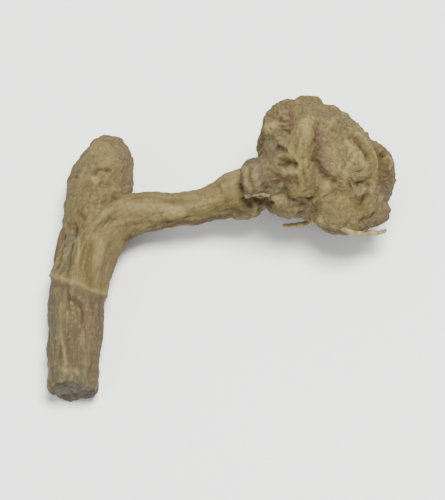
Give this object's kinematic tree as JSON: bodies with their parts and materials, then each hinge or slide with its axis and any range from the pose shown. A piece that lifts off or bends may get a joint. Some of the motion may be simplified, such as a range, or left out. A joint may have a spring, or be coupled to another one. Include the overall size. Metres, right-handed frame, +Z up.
{
  "type": "black turmeric rhizome",
  "caption": "Dried black turmeric rhizome: a swollen mother rhizome with a slender finger that bends, branches and ends in a thick broken stub.",
  "frame": {"origin": "middle of the bounding box, on the underside where the rhizome lies", "axes": "+X runs along the rhizome towards the swollen mother, +Y away from the finger's free end, +Z up"},
  "size_m": [0.0758, 0.0662, 0.0285],
  "materials": {
    "rhizome_skin": "dry matt wrinkled skin, olive tan"
  },
  "bodies": {
    "root": {"rhizome": "rhizome_skin"}
  },
  "joints": []
}
